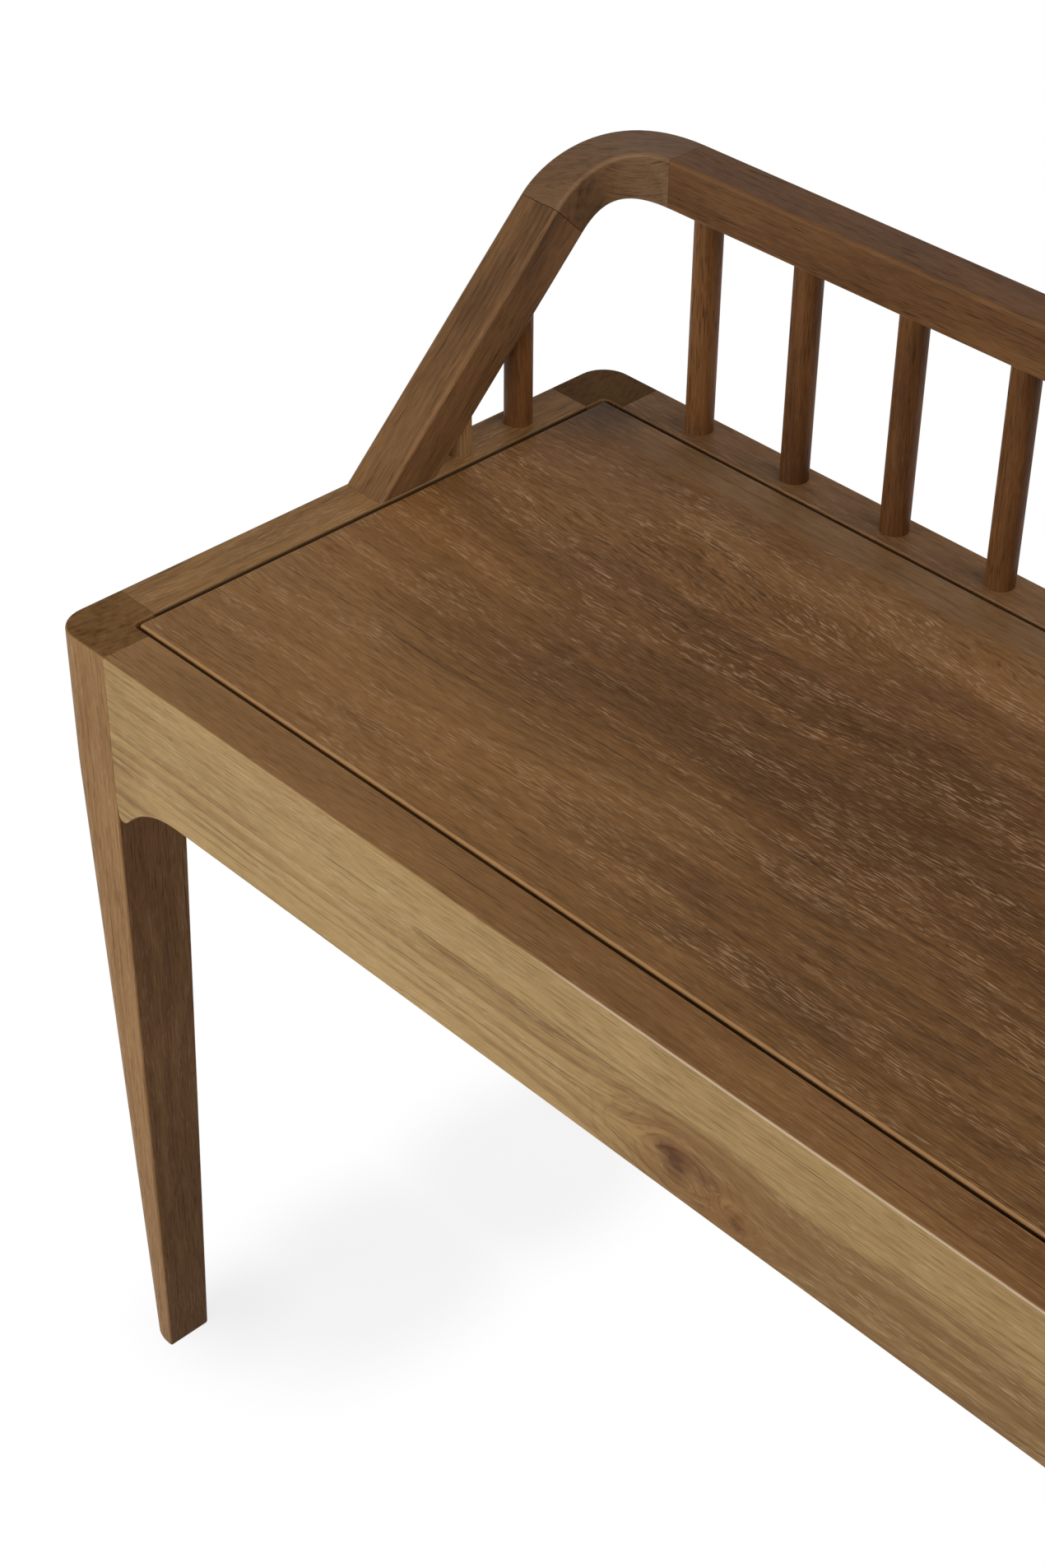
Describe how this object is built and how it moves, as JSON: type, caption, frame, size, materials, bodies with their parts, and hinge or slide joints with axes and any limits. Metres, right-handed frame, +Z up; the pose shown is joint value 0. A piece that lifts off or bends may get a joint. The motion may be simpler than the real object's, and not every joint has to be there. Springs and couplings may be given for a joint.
{
  "type": "deacons bench",
  "caption": "Low-backed wooden bench: tapered legs, bracketed rails, a flush glued-up seat, and a spindle back whose top rail bends down into sloping arms.",
  "frame": {"origin": "on the floor, under the middle of the bench's length and depth", "axes": "+X along the length, +Y from the front to the back, +Z up"},
  "size_m": [1.24, 0.35, 0.5925],
  "materials": {
    "frame_wood": "oiled, dark brown",
    "apron_wood": "oiled, pale tan face grain",
    "seat_wood": "oiled, figured",
    "spindle_wood": "oiled, straight grain",
    "hidden_wood": "planed, unfinished",
    "screw_steel": "plain"
  },
  "bodies": {
    "root": {"leg_front_left": "frame_wood", "leg_front_right": "frame_wood", "leg_back_left": "frame_wood", "leg_back_right": "frame_wood", "apron_strip": "apron_wood", "apron_board": "apron_wood", "back_rail": "frame_wood", "side_rail_left": "frame_wood", "side_rail_right": "frame_wood", "seat_board_1": "seat_wood", "seat_board_2": "seat_wood", "seat_board_3": "seat_wood", "seat_board_4": "seat_wood", "cleat_front": "hidden_wood", "cleat_back": "hidden_wood", "batten_1": "hidden_wood", "batten_2": "hidden_wood", "batten_3": "hidden_wood", "seat_screw_1_1": "screw_steel", "seat_screw_1_2": "screw_steel", "seat_screw_2_1": "screw_steel", "seat_screw_2_2": "screw_steel", "seat_screw_3_1": "screw_steel", "seat_screw_3_2": "screw_steel", "corner_block_front_left": "hidden_wood", "corner_block_front_right": "hidden_wood", "corner_block_back_left": "hidden_wood", "corner_block_back_right": "hidden_wood", "arm_left": "frame_wood", "arm_right": "frame_wood", "bend_left": "frame_wood", "bend_right": "frame_wood", "loose_tenon_arm_left": "hidden_wood", "loose_tenon_arm_right": "hidden_wood", "loose_tenon_rail_left": "hidden_wood", "loose_tenon_rail_right": "hidden_wood", "top_rail": "frame_wood", "side_spindle_left_1": "spindle_wood", "side_spindle_left_2": "spindle_wood", "side_spindle_right_1": "spindle_wood", "side_spindle_right_2": "spindle_wood", "back_spindle_01": "spindle_wood", "back_spindle_02": "spindle_wood", "back_spindle_03": "spindle_wood", "back_spindle_04": "spindle_wood", "back_spindle_05": "spindle_wood", "back_spindle_06": "spindle_wood", "back_spindle_07": "spindle_wood", "back_spindle_08": "spindle_wood", "back_spindle_09": "spindle_wood", "back_spindle_10": "spindle_wood", "back_spindle_11": "spindle_wood", "back_spindle_12": "spindle_wood", "back_spindle_13": "spindle_wood", "back_spindle_14": "spindle_wood", "back_spindle_15": "spindle_wood", "back_spindle_16": "spindle_wood", "back_spindle_17": "spindle_wood", "back_spindle_18": "spindle_wood"}
  },
  "joints": []
}
